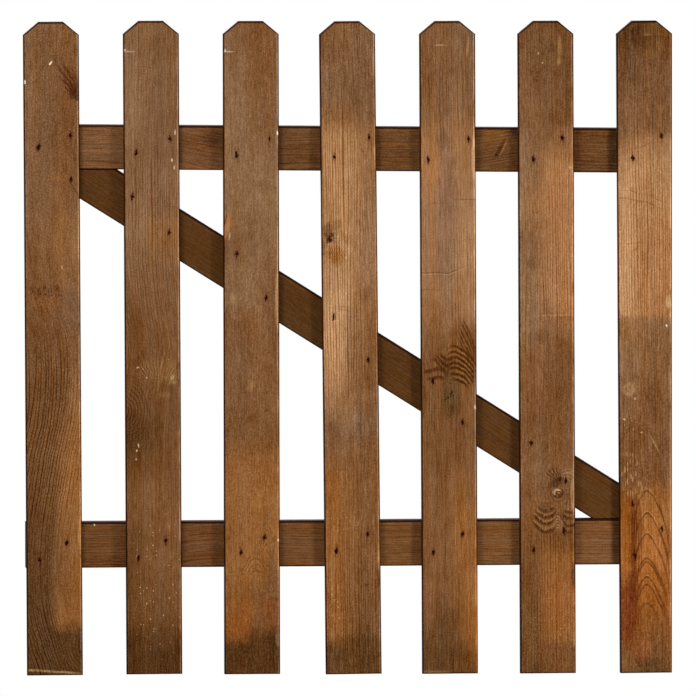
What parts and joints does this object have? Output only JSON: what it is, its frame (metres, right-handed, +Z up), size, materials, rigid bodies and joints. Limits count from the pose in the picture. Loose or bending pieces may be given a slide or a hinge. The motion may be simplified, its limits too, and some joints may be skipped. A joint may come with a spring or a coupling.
{
  "type": "wooden garden gate leaf",
  "caption": "Low picket garden gate leaf: clipped-top upright pales nailed to two rails and a diagonal brace behind.",
  "frame": {"origin": "middle of the lower hinge seat, on the back face of the bottom rail near its hinge end", "axes": "+X across the gate towards the hinge side, +Y out of the back, +Z up; the pales face -Y"},
  "size_m": [0.9007, 0.05, 0.9074],
  "materials": {
    "pale_wood": "matte",
    "rail_wood": "matte",
    "brace_wood": "matte",
    "nail_steel": "matte"
  },
  "bodies": {
    "root": {"pale_1": "pale_wood", "pale_2": "pale_wood", "pale_3": "pale_wood", "pale_4": "pale_wood", "pale_5": "pale_wood", "pale_6": "pale_wood", "pale_7": "pale_wood", "top_rail": "rail_wood", "bottom_rail": "rail_wood", "brace": "brace_wood", "top_rail_nails_1": "nail_steel", "top_rail_nails_2": "nail_steel", "top_rail_nails_3": "nail_steel", "top_rail_nails_4": "nail_steel", "top_rail_nails_5": "nail_steel", "top_rail_nails_6": "nail_steel", "top_rail_nails_7": "nail_steel", "bottom_rail_nails_1": "nail_steel", "bottom_rail_nails_2": "nail_steel", "bottom_rail_nails_3": "nail_steel", "bottom_rail_nails_4": "nail_steel", "bottom_rail_nails_5": "nail_steel", "bottom_rail_nails_6": "nail_steel", "bottom_rail_nails_7": "nail_steel", "brace_nails_1": "nail_steel", "brace_nails_2": "nail_steel", "brace_nails_3": "nail_steel", "brace_nails_4": "nail_steel", "brace_nails_5": "nail_steel", "brace_nails_6": "nail_steel", "brace_nails_7": "nail_steel"}
  },
  "joints": []
}
